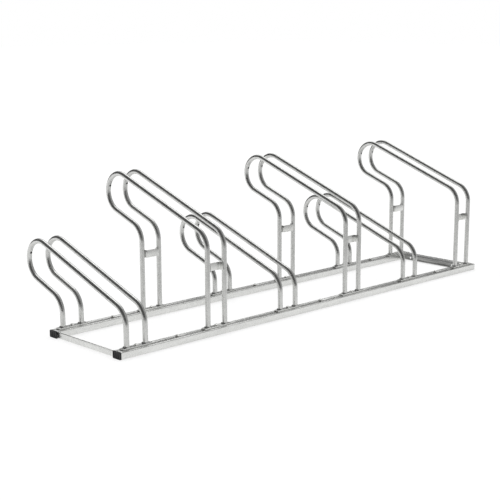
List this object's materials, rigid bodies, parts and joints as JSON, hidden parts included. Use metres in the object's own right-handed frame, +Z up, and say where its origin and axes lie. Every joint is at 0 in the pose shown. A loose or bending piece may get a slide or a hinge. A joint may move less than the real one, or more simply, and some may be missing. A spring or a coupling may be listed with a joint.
{
  "type": "floor bike rack",
  "caption": "Floor bike rack of two rails with pairs of bent tube hoops, alternately low and high, that hold a wheel between them.",
  "frame": {"origin": "on the floor, below the middle of the rack's whole length and depth", "axes": "+X along the rack to the end with the joining angle, +Y from the side the wheels enter to the round hoop heads, +Z up"},
  "size_m": [1.905, 0.568, 0.521],
  "materials": {
    "galvanised_steel": "zinc galvanised, satin, faint cloudy mottling",
    "zinc_plated_steel": "bright zinc plating",
    "black_plastic": "fine matt grain"
  },
  "bodies": {
    "root": {"front_rail": "galvanised_steel", "front_end_plug": "black_plastic", "front_foot_bolts": "zinc_plated_steel", "front_weld_nuts": "galvanised_steel", "rear_rail": "galvanised_steel", "rear_end_plug": "black_plastic", "rear_foot_bolts": "zinc_plated_steel", "rear_weld_nuts": "galvanised_steel", "left_cross_bar": "galvanised_steel", "right_cross_angle": "galvanised_steel", "hoop_1_left": "galvanised_steel", "hoop_1_right": "galvanised_steel", "front_foot_plate_1": "galvanised_steel", "rear_foot_plate_1": "galvanised_steel", "hoop_2_left": "galvanised_steel", "hoop_2_right": "galvanised_steel", "front_foot_plate_2": "galvanised_steel", "front_bracket_2": "galvanised_steel", "rear_foot_plate_2": "galvanised_steel", "rear_bracket_2": "galvanised_steel", "hoop_3_left": "galvanised_steel", "hoop_3_right": "galvanised_steel", "front_foot_plate_3": "galvanised_steel", "rear_foot_plate_3": "galvanised_steel", "hoop_4_left": "galvanised_steel", "hoop_4_right": "galvanised_steel", "front_foot_plate_4": "galvanised_steel", "front_bracket_4": "galvanised_steel", "rear_foot_plate_4": "galvanised_steel", "rear_bracket_4": "galvanised_steel", "hoop_5_left": "galvanised_steel", "hoop_5_right": "galvanised_steel", "front_foot_plate_5": "galvanised_steel", "rear_foot_plate_5": "galvanised_steel", "hoop_6_left": "galvanised_steel", "hoop_6_right": "galvanised_steel", "front_foot_plate_6": "galvanised_steel", "front_bracket_6": "galvanised_steel", "rear_foot_plate_6": "galvanised_steel", "rear_bracket_6": "galvanised_steel"}
  },
  "joints": []
}
